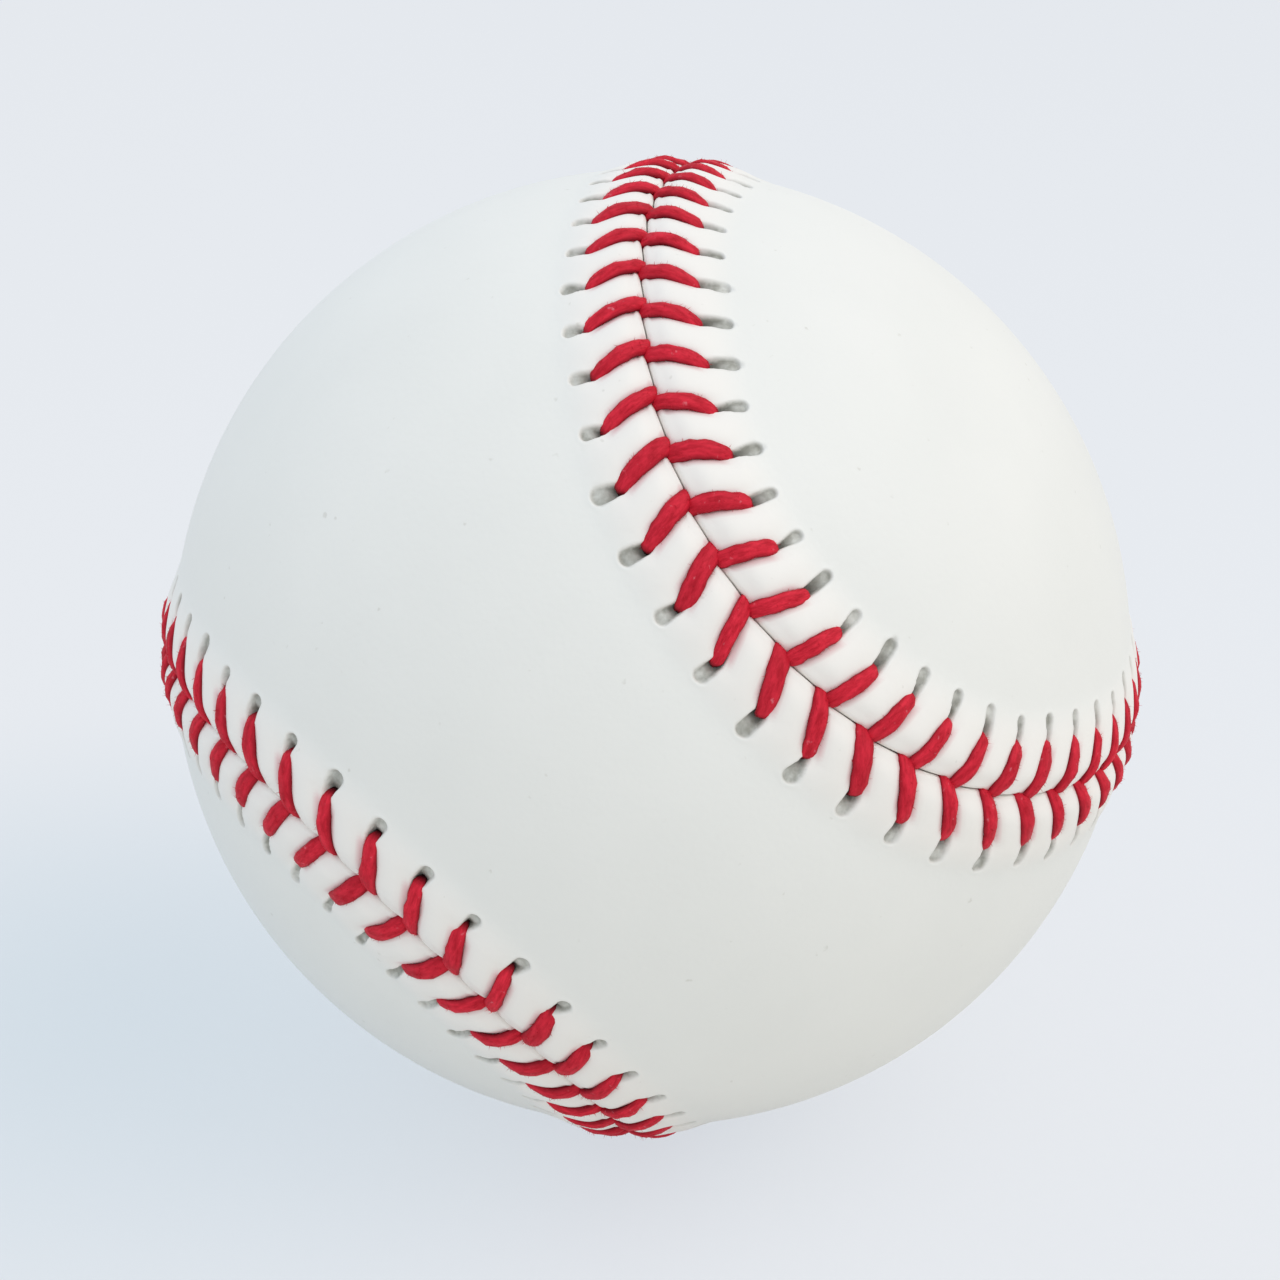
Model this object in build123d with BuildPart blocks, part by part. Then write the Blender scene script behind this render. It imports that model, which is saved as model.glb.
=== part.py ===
from build123d import *
from math import acos, asin, atan2, cos, degrees, hypot, pi, radians, sin, sqrt, tan
import os

# A baseball, built from the inside out: a cork and rubber pill, four windings of yarn,
# and two leather covers laced together with red thread along one raised seam.
# +Z is up, the origin is the centre of the ball, and the waist of the front cover faces -Y.
# Lengths are in millimetres and angles in degrees.

# The pill
cork_diameter = 20.64  # 13/16 in ball of cork
cup_wall = 3.97  # 5/32 in of black rubber, in two halves
gasket_thickness = 1.2  # red rubber ring between the rims of the two cups
shell_wall = 2.38  # 3/32 in of red rubber moulded over the cups

# The windings, as the thickness of yarn that each one lays on
inner_wool_wall = 14.6  # four-ply grey wool
white_wool_wall = 1.75  # three-ply white wool
outer_wool_wall = 2.25  # three-ply grey wool
finish_wall = 0.5  # fine cotton and polyester yarn

# The covers, with lengths measured along the surface of the leather
leather_thickness = 1.27
waist_width = 33.1  # narrowest part of a cover, from seam to seam
lobe_radius = 26.8  # round end of a cover, from its middle to the seam
lobe_sweep = 102.8  # part of the seam's circle that the round end takes up
crossing_run = 5.0  # straight run of the seam at each of its four crossings
seam_gap = 0.3  # slit between the two covers
edge_roll = 0.6  # rounding of the leather where it turns down into the slit
welt_height = 0.6  # rise of the leather at the seam
welt_half_width = 6.5  # from the seam to where the rise begins
welt_overlap = 1.08  # how far the welt's section is drawn, as a share of its half width

# The stitching
stitch_count = 108  # pairs of thread legs around the seam
stitch_reach = 3.65  # from the seam to where the thread goes down into its slot
slot_tail = 1.9  # open length of an awl slot beyond the thread
stitch_lag = 1.4  # how far a pair's slots trail the point of its V
thread_width = 1.3  # pulled flat on the leather
thread_height = 0.7
thread_core = 0.75  # where the thread goes through the leather

# Fits
layer_gap = 0.03  # between one layer and the next
thread_gap = 0.07  # between the thread and the leather
slot_slack = 0.12  # between the thread's corners and the sides of its slot
leg_gap = 0.1  # between the two legs of a pair, where they meet at the seam

# Radii of the layers, each laid on the one before
cork_radius = cork_diameter / 2
cup_inner = cork_radius + layer_gap
cup_outer = cup_inner + cup_wall
layer_walls = {
    "red_rubber_shell": shell_wall,
    "inner_wool_winding": inner_wool_wall,
    "white_wool_winding": white_wool_wall,
    "outer_wool_winding": outer_wool_wall,
    "finish_winding": finish_wall,
}
leather_inner = cup_outer + sum(layer_walls.values()) + layer_gap * (len(layer_walls) + 1)
ball_radius = leather_inner + leather_thickness
crest_radius = ball_radius + welt_height


def save(builder, name):
    builder.part.label = name
    export_step(builder.part, f"parts/{name}.step")


os.makedirs("parts", exist_ok=True)

# Cork core
with BuildPart() as cork_core:
    Sphere(cork_radius)
save(cork_core, "cork_core")

# Black rubber cups, an upper and a lower one, rim to rim on the gasket
cup_rim = gasket_thickness / 2 + layer_gap
for name, plane in (("upper_rubber_cup", Plane.XY), ("lower_rubber_cup", -Plane.XY)):
    with BuildPart() as cup:
        Sphere(cup_outer)
        Sphere(cup_inner, mode=Mode.SUBTRACT)
        split(bisect_by=plane.offset(cup_rim), keep=Keep.TOP)
    save(cup, name)

# Red rubber gasket between the rims
with BuildPart() as gasket:
    Sphere(cup_outer)
    Sphere(cup_inner, mode=Mode.SUBTRACT)
    with BuildSketch(Plane.XY.offset(-gasket_thickness / 2)):
        Circle(cup_outer)
    extrude(amount=gasket_thickness, mode=Mode.INTERSECT)
save(gasket, "rubber_gasket")

# Red rubber shell and the four windings
layer_inner = cup_outer + layer_gap
for name, wall in layer_walls.items():
    with BuildPart() as layer:
        Sphere(layer_inner + wall)
        Sphere(layer_inner, mode=Mode.SUBTRACT)
    save(layer, name)
    layer_inner += wall + layer_gap

# The seam is sixteen tangent arcs of circles whose axes pass through the ball's centre.
# It crosses the right, top, left and bottom of the ball in short straight runs. In each
# quarter a neck arc, a lobe arc and a neck arc lead from one run to the next.
right, top, front = Vector(1, 0, 0), Vector(0, 0, 1), Vector(0, -1, 0)
corner = (right + top).normalized()
lobe_angle = lobe_radius / ball_radius
lobe_tilt = waist_width / 2 / ball_radius + lobe_angle
lobe_axis = corner * sin(lobe_tilt) + front * cos(lobe_tilt)
to_waist = front * sin(lobe_tilt) - corner * cos(lobe_tilt)
to_right = (right - top).normalized()


def mirrored(direction):
    return right * direction.dot(top) + top * direction.dot(right) + front * direction.dot(front)


def next_quarter(direction):
    return top * direction.dot(right) - right * direction.dot(top) - front * direction.dot(front)


def turn_angle(axis, start, end):
    across = axis.dot(start.cross(end))
    along = start.dot(end) - axis.dot(start) * axis.dot(end)
    return atan2(across, along)


half_sweep = radians(lobe_sweep / 2)
rim_direction = to_waist * cos(half_sweep) + to_right * sin(half_sweep)
joint = lobe_axis * cos(lobe_angle) + rim_direction * sin(lobe_angle)
inward = (lobe_axis - joint * cos(lobe_angle)).normalized()
run_angle = crossing_run / 2 / ball_radius
neck_angle = atan2(cos(run_angle) - joint.dot(right), inward.dot(right))
neck_axis = joint * cos(neck_angle) + inward * sin(neck_angle)
crossing_angle = acos(neck_axis.dot(right))
to_crossing = (right - neck_axis * cos(crossing_angle)).normalized()
bend_turn = acos(tan(neck_angle) / tan(crossing_angle))
if turn_angle(neck_axis, right, joint) < 0:
    bend_turn = -bend_turn
nearest = neck_axis * cos(neck_angle) + to_crossing * sin(neck_angle)
bend = nearest.rotate(Axis((0, 0, 0), neck_axis), degrees(bend_turn))
run_start, run_end = mirrored(bend), next_quarter(bend)
quarter_arcs = [
    (neck_axis, bend, joint),
    (lobe_axis, joint, mirrored(joint)),
    (mirrored(neck_axis), mirrored(joint), run_start),
    (run_start.cross(run_end).normalized(), run_start, run_end),
]
seam_arcs = []
for quarter in range(4):
    seam_arcs += [(axis, start, turn_angle(axis, start, end)) for axis, start, end in quarter_arcs]
    quarter_arcs = [tuple(next_quarter(direction) for direction in arc) for arc in quarter_arcs]


def arc_length(axis, start, turn):
    return ball_radius * axis.cross(start).length * abs(turn)


seam_length = sum(arc_length(*arc) for arc in seam_arcs)
pitch = seam_length / stitch_count


# Directions at a distance along the seam: outwards, along the seam and towards the front cover
def seam_frame(distance):
    left_over = (distance - crossing_run / 2) % seam_length
    for axis, start, turn in seam_arcs:
        length = arc_length(axis, start, turn)
        if left_over <= length:
            break
        left_over -= length
    outward = start.rotate(Axis((0, 0, 0), axis), degrees(turn * left_over / length))
    along = axis.cross(outward).normalized() * (1 if turn > 0 else -1)
    return outward, along, outward.cross(along)


# A place beside the seam, with the directions outwards and away from the seam
def beside_seam(distance, offset, side):
    outward, along, to_front = seam_frame(distance)
    away = to_front * side
    angle = offset / ball_radius
    return outward * cos(angle) + away * sin(angle), away * cos(angle) - outward * sin(angle)


# The plane across an arc of the seam, with X outwards and Y towards the front cover
def seam_section(axis, start, turn):
    along = axis.cross(start) * (1 if turn > 0 else -1)
    return Plane(origin=(0, 0, 0), x_dir=start, z_dir=along * -1)


# The welt's crown is an arc from one side of the seam to the other, over its crest
welt_angle = welt_half_width / ball_radius
welt_rise = crest_radius - ball_radius * cos(welt_angle)
welt_radius = (welt_rise**2 + (ball_radius * sin(welt_angle)) ** 2) / (2 * welt_rise)
welt_middle = crest_radius - welt_radius
welt_foot = asin(ball_radius * sin(welt_angle) / welt_radius) * welt_overlap


def leather_radius(offset):
    angle = offset / ball_radius
    if angle > welt_angle:
        return ball_radius
    return welt_middle * cos(angle) + sqrt(welt_radius**2 - (welt_middle * sin(angle)) ** 2)


# Awl slots: pointed at both ends, with the thread at the end near the seam
thread_corner = thread_core * hypot(0.5, 1)
slot_width = thread_corner + 2 * slot_slack
slot_start = stitch_reach - (thread_corner + slot_width) / 2
slot_end = stitch_reach + slot_tail
sides = {"front": 1, "rear": -1}
stitches = [pitch * number for number in range(stitch_count)]
slot_planes = []
for stitch in stitches:
    outward, away = beside_seam(stitch - stitch_lag, (slot_start + slot_end) / 2, sides["front"])
    slot_planes.append(Plane(origin=outward * ball_radius, x_dir=away, z_dir=outward))


def awl_cut(length, width):
    reach, half = length / 2, width / 2
    Polygon(
        (-reach, 0), (half - reach, -half), (reach - half, -half),
        (reach, 0), (reach - half, half), (half - reach, half), align=None,
    )


# The seam's slit, with the rolled edges of the leather on both sides of it
slit_half = seam_gap / 2
roll_edge = slit_half + edge_roll
roll_floor = crest_radius - edge_roll
above, below = crest_radius + leather_thickness, leather_inner - leather_thickness
with BuildPart() as slit:
    for axis, start, turn in seam_arcs:
        with BuildSketch(seam_section(axis, start, turn)):
            with BuildLine():
                Polyline((below, -slit_half), (below, slit_half), (roll_floor, slit_half))
                RadiusArc((roll_floor, slit_half), (crest_radius, roll_edge), edge_roll)
                Polyline((crest_radius, roll_edge), (above, roll_edge), (above, -roll_edge),
                         (crest_radius, -roll_edge))
                RadiusArc((crest_radius, -roll_edge), (roll_floor, -slit_half), edge_roll)
                Line((roll_floor, -slit_half), (below, -slit_half))
            make_face()
        revolve(axis=Axis((0, 0, 0), axis), revolution_arc=degrees(turn))

# Both leather covers, as a shell with a raised welt that the slit cuts in two
cut_depth = leather_thickness + welt_height + edge_roll
foot_x = welt_middle + welt_radius * cos(welt_foot)
foot_y = welt_radius * sin(welt_foot)
with BuildPart() as covers:
    Sphere(ball_radius, rotation=(90, 0, 0))
    for axis, start, turn in seam_arcs:
        with BuildSketch(seam_section(axis, start, turn)):
            with BuildLine():
                ThreePointArc((foot_x, -foot_y), (crest_radius, 0), (foot_x, foot_y))
                Line((foot_x, foot_y), (foot_x, -foot_y))
            make_face()
        revolve(axis=Axis((0, 0, 0), axis), revolution_arc=degrees(turn))
    Sphere(leather_inner, rotation=(90, 0, 0), mode=Mode.SUBTRACT)
    add(slit.part, mode=Mode.SUBTRACT)

# The front cover, with its slots
with BuildPart() as front_cover:
    add(covers.solids().sort_by(Axis.Y)[0])
    with BuildSketch(*slot_planes):
        awl_cut(slot_end - slot_start, slot_width)
    extrude(amount=cut_depth, both=True, mode=Mode.SUBTRACT)
save(front_cover, "front_cover")

# The rear cover is the same piece, a quarter turn on and facing the other way
with BuildPart() as rear_cover:
    add(front_cover.part, rotation=(0, -90, 0))
    mirror(about=Plane.XZ, mode=Mode.REPLACE)
save(rear_cover, "rear_cover")

# Stitch legs: each comes up through its slot, lies over the welt, bends down between
# the rolled edges and is pinched flat in the slit
half_thread = thread_height / 2
thread_bend = half_thread / 2
shoulder_width = (thread_core + thread_width) / 2
dive_spacing = shoulder_width + leg_gap
throat_depth = edge_roll / 2
throat_half = roll_edge - sqrt(edge_roll**2 - (edge_roll - throat_depth) ** 2)
pinched = seam_gap - 2 * thread_gap


# The plane across a leg, with X across the leg and Z along the thread
def leg_plane(distance, radius, slope):
    angle = distance / ball_radius
    middle = Vector(sin(angle) * radius, 0, cos(angle) * radius)
    along = Vector(-cos(slope), 0, sin(slope)).rotate(Axis.Y, degrees(angle))
    return Plane(origin=middle, x_dir=(0, 1, 0), z_dir=along)


def thread_section(width, height):
    Polygon(
        (-width / 2, 0), (-width / 4, -height / 2), (width / 4, -height / 2),
        (width / 2, 0), (width / 4, height / 2), (-width / 4, height / 2), align=None,
    )


for name, side in sides.items():
    trail = stitch_lag + side * dive_spacing / 2
    reach = hypot(trail, stitch_reach)
    crown = leather_radius(stitch_reach / 2) + thread_gap + half_thread
    along_slit = Vector(side * trail, stitch_reach, 0)
    throat = Plane(origin=(0, 0, crest_radius - throat_depth), x_dir=along_slit, z_dir=(0, 0, -1))
    stations = (
        (leg_plane(reach, leather_inner + thread_gap, pi / 2), thread_core, thread_core),
        (leg_plane(reach - thread_bend, leather_radius(stitch_reach) + half_thread, pi / 4),
         shoulder_width, thread_height),
        (leg_plane(reach / 2, crown, 0), thread_width, thread_height),
        (leg_plane(thread_bend, crest_radius + half_thread, -pi / 4), shoulder_width, thread_height),
        (throat, thread_core, 2 * (throat_half - thread_gap)),
        (throat.offset(edge_roll), thread_core, pinched),
    )
    with BuildPart() as leg:
        for plane, width, height in stations:
            with BuildSketch(plane):
                thread_section(width, height)
        loft(ruled=True)
    leg_planes = []
    for stitch in stitches:
        outward, along, to_front = seam_frame(stitch + side * dive_spacing / 2)
        entry, away = beside_seam(stitch - stitch_lag, stitch_reach, side)
        to_entry = entry - outward * entry.dot(outward)
        leg_planes.append(Plane(origin=(0, 0, 0), x_dir=to_entry, z_dir=outward))
    with BuildPart() as stitch_legs:
        with Locations(*leg_planes):
            add(leg.part)
    save(stitch_legs, f"{name}_stitches")

girth = 2 * pi * ball_radius
print(f"leather radius {ball_radius:.2f}, girth {girth:.1f}, crest radius {crest_radius:.2f}")
print(f"seam length {seam_length:.1f}, pitch {pitch:.3f}")
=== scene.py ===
import bpy
import math
import numpy as np
from mathutils import Matrix, Vector
from mathutils.geometry import delaunay_2d_cdt


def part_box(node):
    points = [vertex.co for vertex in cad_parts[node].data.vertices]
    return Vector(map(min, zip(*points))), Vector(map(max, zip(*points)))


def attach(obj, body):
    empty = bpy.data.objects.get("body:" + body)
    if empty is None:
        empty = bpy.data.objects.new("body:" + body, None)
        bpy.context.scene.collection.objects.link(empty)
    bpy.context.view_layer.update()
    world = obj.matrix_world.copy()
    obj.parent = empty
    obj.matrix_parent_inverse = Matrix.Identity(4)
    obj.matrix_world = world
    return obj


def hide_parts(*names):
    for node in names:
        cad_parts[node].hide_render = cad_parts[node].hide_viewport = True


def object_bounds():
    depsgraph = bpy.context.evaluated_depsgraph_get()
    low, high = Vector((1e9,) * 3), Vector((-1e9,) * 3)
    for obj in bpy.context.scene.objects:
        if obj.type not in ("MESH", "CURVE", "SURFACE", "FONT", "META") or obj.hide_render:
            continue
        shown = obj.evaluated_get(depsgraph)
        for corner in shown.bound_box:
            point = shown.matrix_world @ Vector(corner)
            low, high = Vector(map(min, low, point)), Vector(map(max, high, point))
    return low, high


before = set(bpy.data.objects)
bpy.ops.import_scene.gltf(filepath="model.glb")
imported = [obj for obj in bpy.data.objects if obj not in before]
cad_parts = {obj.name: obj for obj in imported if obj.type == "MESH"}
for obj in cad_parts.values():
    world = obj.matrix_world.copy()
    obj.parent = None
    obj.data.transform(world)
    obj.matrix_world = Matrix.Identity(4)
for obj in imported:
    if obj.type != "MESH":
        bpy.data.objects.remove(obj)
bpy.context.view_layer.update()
mm = 0.001  # shapes are worked out in millimetres and built in metres
print("frame loaded,", len(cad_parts), "nodes")


def hexColour(code):
    channels = [int(code[at:at + 2], 16) / 255 for at in (1, 3, 5)]
    return [c / 12.92 if c <= 0.04045 else ((c + 0.055) / 1.055) ** 2.4 for c in channels] + [1.0]


def addNode(tree, kind, inputs=None, **settings):  # an input takes a link, a value or a hex colour
    node = tree.nodes.new(kind)
    for name, value in settings.items():
        setattr(node, name, value)
    for key, value in (inputs or {}).items():
        socket = node.inputs[key]
        if isinstance(value, bpy.types.NodeSocket):
            tree.links.new(value, socket)
        elif socket.type == "RGBA":
            socket.default_value = hexColour(value)
        else:
            socket.default_value = value
    return node


def smooth(value):  # 0 to 1 with soft ends
    value = np.clip(value, 0, 1)
    return value * value * (3 - 2 * value)


# The seam: one closed line of arcs, which crosses the right, top, left and bottom of the ball
seam = {
    "waistWidth": 33.1,  # mm along the leather, across a cover's waist
    "lobeRadius": 26.8,  # mm, round end of a cover
    "lobeSweep": 102.8,  # degrees of its circle that the round end takes up
    "crossingRun": 5.0,  # mm, straight run at each crossing
    "stitches": 108,  # pairs of thread legs
    "drift": 0.3,  # pitches that hand lacing loses and gains on its way round
    "stretch": 0.5,  # pitches by which the stitches open out in two places
    "inStep": 14,  # the stitch where both are nothing
    "samples": 1200,  # points of the line that distances are measured to
}
ballRadius = round(-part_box("front_cover")[0].y / mm, 2)


def unit(v):
    return v / np.linalg.norm(v)


def mirrored(v):
    return np.array([v[2], v[1], v[0]])


def nextQuarter(v):
    return np.array([-v[2], -v[1], v[0]])


def turnAngle(axis, start, end):
    return math.atan2(axis @ np.cross(start, end), start @ end - (axis @ start) * (axis @ end))


def spun(v, axis, angle):
    c, s = math.cos(angle), math.sin(angle)
    return v * c + np.cross(axis, v) * s + axis * (axis @ v) * (1 - c)


def layOutSeam():
    right, front = np.array([1.0, 0.0, 0.0]), np.array([0.0, -1.0, 0.0])
    corner, toRight = unit(np.array([1.0, 0.0, 1.0])), unit(np.array([1.0, 0.0, -1.0]))
    lobe = seam["lobeRadius"] / ballRadius
    tilt = seam["waistWidth"] / 2 / ballRadius + lobe
    lobeAxis = corner * math.sin(tilt) + front * math.cos(tilt)
    toWaist = front * math.sin(tilt) - corner * math.cos(tilt)
    half = math.radians(seam["lobeSweep"] / 2)
    rim = toWaist * math.cos(half) + toRight * math.sin(half)
    joint = lobeAxis * math.cos(lobe) + rim * math.sin(lobe)
    inward = unit(lobeAxis - joint * math.cos(lobe))
    run = seam["crossingRun"] / 2 / ballRadius
    neck = math.atan2(math.cos(run) - joint @ right, inward @ right)
    neckAxis = joint * math.cos(neck) + inward * math.sin(neck)
    crossing = math.acos(neckAxis @ right)
    toCrossing = unit(right - neckAxis * math.cos(crossing))
    bendTurn = math.acos(math.tan(neck) / math.tan(crossing))
    bendTurn = math.copysign(bendTurn, turnAngle(neckAxis, right, joint))
    bend = spun(neckAxis * math.cos(neck) + toCrossing * math.sin(neck), neckAxis, bendTurn)
    runStart, runEnd = mirrored(bend), nextQuarter(bend)
    quarter = [
        (neckAxis, bend, joint),
        (lobeAxis, joint, mirrored(joint)),
        (mirrored(neckAxis), mirrored(joint), runStart),
        (unit(np.cross(runStart, runEnd)), runStart, runEnd),
    ]
    arcs = []
    for _ in range(4):
        arcs += [(axis, start, turnAngle(axis, start, end)) for axis, start, end in quarter]
        quarter = [tuple(nextQuarter(v) for v in arc) for arc in quarter]
    return [np.array(column) for column in zip(*arcs)]


arcAxes, arcStarts, arcTurns = layOutSeam()
arcLengths = ballRadius * np.linalg.norm(np.cross(arcAxes, arcStarts), axis=1) * np.abs(arcTurns)
arcEnds = np.cumsum(arcLengths)
seamLength = arcEnds[-1]
pitch = seamLength / seam["stitches"]


def seamFrame(distance):  # outwards, along the seam and towards the front cover
    ahead = (np.asarray(distance) - seam["crossingRun"] / 2) % seamLength
    arc = np.minimum(np.searchsorted(arcEnds, ahead), len(arcEnds) - 1)
    angle = arcTurns[arc] * (1 - (arcEnds[arc] - ahead) / arcLengths[arc])
    c, s = np.cos(angle)[..., None], np.sin(angle)[..., None]
    axis, start = arcAxes[arc], arcStarts[arc]
    lift = np.sum(axis * start, axis=-1, keepdims=True)
    outward = start * c + np.cross(axis, start) * s + axis * lift * (1 - c)
    along = np.cross(axis, outward) * np.sign(arcTurns[arc])[..., None]
    along /= np.linalg.norm(along, axis=-1, keepdims=True)
    return outward, along, np.cross(outward, along)


def besideSeam(distance, offset, side):  # direction of a place beside the seam
    outward, _, toFront = seamFrame(distance)
    angle = np.asarray(offset)[..., None] / ballRadius
    return outward * np.cos(angle) + toFront * side * np.sin(angle)


numbers = np.arange(seam["stitches"])
lacingTurn = 2 * np.pi / seam["stitches"]
drift = seam["drift"] * (np.cos(lacingTurn * (numbers - seam["inStep"])) - 1)
stretch = seam["stretch"] * np.sin(2 * lacingTurn * (numbers - seam["inStep"]))
stitchPlaces = pitch * (numbers + drift + stretch)
cellWidths = np.diff(np.append(stitchPlaces, stitchPlaces[0] + seamLength))
print(f"seam laid out, {seamLength:.1f} mm long, pitch {pitch:.2f} mm")

# The lacing, shared by the thread and by the leather that it pulls in
lacing = {
    "reach": 3.65,  # mm from the seam to where the thread goes down
    "lag": 1.4,  # mm that the slots trail the point of the V
    "frontDive": 0.5,  # mm past the point, where the front leg goes down
    "rearDive": -0.2,  # the rear leg starts from under the front one
    "trough": 0.3,  # mm that the thread sinks into the leather
    "pull": 0.36,  # mm by which the seam's line zigzags from stitch to stitch
    "pullEnd": 2.2,  # mm from the seam where the leather no longer follows it
    "pullStart": 0.2,  # share of a stitch that the thread covers
}
sides = {"front": 1, "rear": -1}


def legLine(offset, name):  # where a leg, and then its slot, runs beside its stitch
    return np.interp(offset, [0, lacing["reach"]], [lacing[name + "Dive"], -lacing["lag"]])


def seamPull(along, width, offset):  # how far the thread draws the leather towards the front cover
    share = (along / width) % 1
    slope = (share - lacing["pullStart"]) / (1 - lacing["pullStart"])
    jump = 1 - share / lacing["pullStart"]
    zigzag = np.where(share < lacing["pullStart"], jump, slope) - 0.5
    return lacing["pull"] * zigzag * smooth(1 - offset / lacing["pullEnd"])


# The leather covers, with sizes in mm
cover = {
    "windingGap": 0.04,  # between the last winding and the leather
    "weltHeight": 0.64,  # rise of the leather along the seam
    "weltHalf": 6.8,
    "valley": 0.52,  # that the leather falls again at the seam itself
    "valleyHalf": 1.0,
    "puff": 0.24,  # that the leather swells between two stitches
    "puffEnd": 6.4,
    "puffShape": 1.3,  # power of the sine that the swelling follows
    "puffAtSeam": 0.55,  # share of the swelling that is left at the seam
    "puffGrows": 1.6,  # from the seam to the full swelling
    "troughHalf": 0.62,
    "troughPast": 1.0,  # that the thread's trough runs on beyond its reach
    "troughFade": 1.2,
    "slitHalf": 0.03,  # half of the gap between the covers
    "roll": 0.5,  # rounding of the edge
    "rollSteps": (90, 67.5, 45, 22.5),  # degrees
    "slotFrom": 3.1,
    "slotTo": {"front": 5.05, "rear": 5.35},  # middle of the slot's round end
    "slotToSpread": 0.25,  # part of the slots' unevenness that goes into their length
    "slotDepth": (0.85, 0.28),  # at the thread and at the far end
    "slotHalf": (0.28, 0.46),
    "slotEdge": (0.14, 0.2),  # width of the slot's soft wall
    "slotSpread": 0.5,  # share by which the slots differ at the thread
    # painted shade in the slot, at the thread and at the far end
    "slotShadeStrength": (0.85, 0.42),
    "slotShadeSpread": 0.3,  # share by which the slots' far ends differ in painted shade
    "rim": 0.04,  # raised edge round the slot
    "rimHalf": 0.16,
    "uneven": 0.16,  # share by which stitches differ
    "stainShadeFrom": 0.57,  # beside the thread's middle, where dye rubs off on the leather, with painted shade along the thread's edge
    "stainShadeFade": 0.22,
    "stainShadeEnd": 0.8,  # before the thread's reach, where the stain and its painted shade start to fade
    "rowSteps": ((0.56, 2.75, 8), (2.75, 4.9, 9), (4.9, 6.1, 14), (6.1, 6.8, 2), (6.8, 8.5, 3)),
    "legColumns": (-0.7, -0.55, -0.44, -0.34, -0.24, -0.13, 0, 0.13, 0.24, 0.34, 0.44, 0.55, 0.7),
    "plainColumns": 6,
    "thinning": 3,  # columns to each point of the first plain ring
    "ringGap": 0.7,  # from the last row to the first plain ring
    "strewnGap": 1.5,  # from the last row, and inside from the seam, to the strewn points
    "plainStep": 1.2,  # between points of the plain leather
    "insideStep": 3.0,
    "packing": 0.87,  # share of a square step that a strewn point takes up
}
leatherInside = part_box("finish_winding")[1].x / mm + cover["windingGap"]
dice = np.random.default_rng(11)
puffShare = 1 + cover["uneven"] * dice.uniform(-1, 1, (2, seam["stitches"]))
slotShare = 1 + cover["uneven"] * dice.uniform(-1, 1, (2, seam["stitches"]))
mouthShare = 1 + cover["slotSpread"] * dice.uniform(-1, 1, (2, seam["stitches"]))
slotShadeShares = 1 + cover["slotShadeSpread"] * dice.uniform(-1, 1, (2, seam["stitches"]))


def weltRise(offset):
    hump = cover["weltHeight"] * np.clip(1 - (offset / cover["weltHalf"]) ** 2, 0, None) ** 2
    return hump - cover["valley"] * np.exp(-(offset / cover["valleyHalf"]) ** 2)


def leatherSurface(past, width, offset, name, number):  # rise over the plain ball, and three marks: painted slot shade, dye stain with painted edge shade, and a lighter tone near the seam
    reach = lacing["reach"]
    lean = math.atan2(lacing[name + "Dive"] + lacing["lag"], reach)
    nearer = np.minimum(past % width, width - past % width)
    across = nearer * np.where(offset < reach, math.cos(lean), 1)
    row = 0 if name == "front" else 1

    # Swelling between the stitches, and the trough under the thread
    fade = smooth((cover["puffEnd"] - offset) / (cover["puffEnd"] - reach))
    grown = cover["puffAtSeam"] + (1 - cover["puffAtSeam"]) * smooth(offset / cover["puffGrows"])
    swell = cover["puff"] * puffShare[row, number] * fade * grown
    swell = swell * np.sin(np.pi * (past % width) / width) ** cover["puffShape"]
    press = smooth((reach + cover["troughPast"] - offset) / cover["troughFade"])
    trough = lacing["trough"] * np.exp(-(across / cover["troughHalf"]) ** 2) * press

    # The slot, narrow and deep at the thread, wide and shallow at its far end, with painted shade that is
    # darkest at the thread
    farEnd = cover["slotTo"][name] * (1 + cover["slotToSpread"] * (slotShare[row, number] - 1))
    ends = np.maximum(np.maximum(0, offset - farEnd), cover["slotFrom"] - offset)
    tail = smooth((offset - reach) / (farEnd - reach))
    depth, half, soft, dark = (first + (last - first) * tail for first, last in (
        cover["slotDepth"], cover["slotHalf"], cover["slotEdge"], cover["slotShadeStrength"]))
    half = half * (slotShare[row, number] * tail + mouthShare[row, number] * (1 - tail))
    wall = np.hypot(nearer, ends) - half
    sunk = smooth(0.5 - wall / soft)
    rim = cover["rim"] * np.exp(-((wall - cover["rimHalf"]) / cover["rimHalf"]) ** 2)

    stainAndShade = np.exp(-(np.maximum(across - cover["stainShadeFrom"], 0) / cover["stainShadeFade"]) ** 2)
    marks = {
        "slotShade": sunk * dark * slotShadeShares[row, number] ** tail,
        "dyeStainAndEdgeShade": stainAndShade * smooth((reach - offset) / cover["stainShadeEnd"]),
        "seamToneShare": fade,
    }
    return weltRise(offset) + swell - trough + rim - depth * sunk, marks


def coverColumns():  # place along the seam, distance past its stitch, room to the next, and number
    columns = []
    for number, width in enumerate(cellWidths):
        legs = list(cover["legColumns"])
        plain = np.linspace(legs[-1], width + legs[0], cover["plainColumns"] + 2)[1:-1]
        columns += [(stitchPlaces[number] + past, past, width, number) for past in legs + list(plain)]
    return [np.array(column) for column in zip(*columns)]


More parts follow.
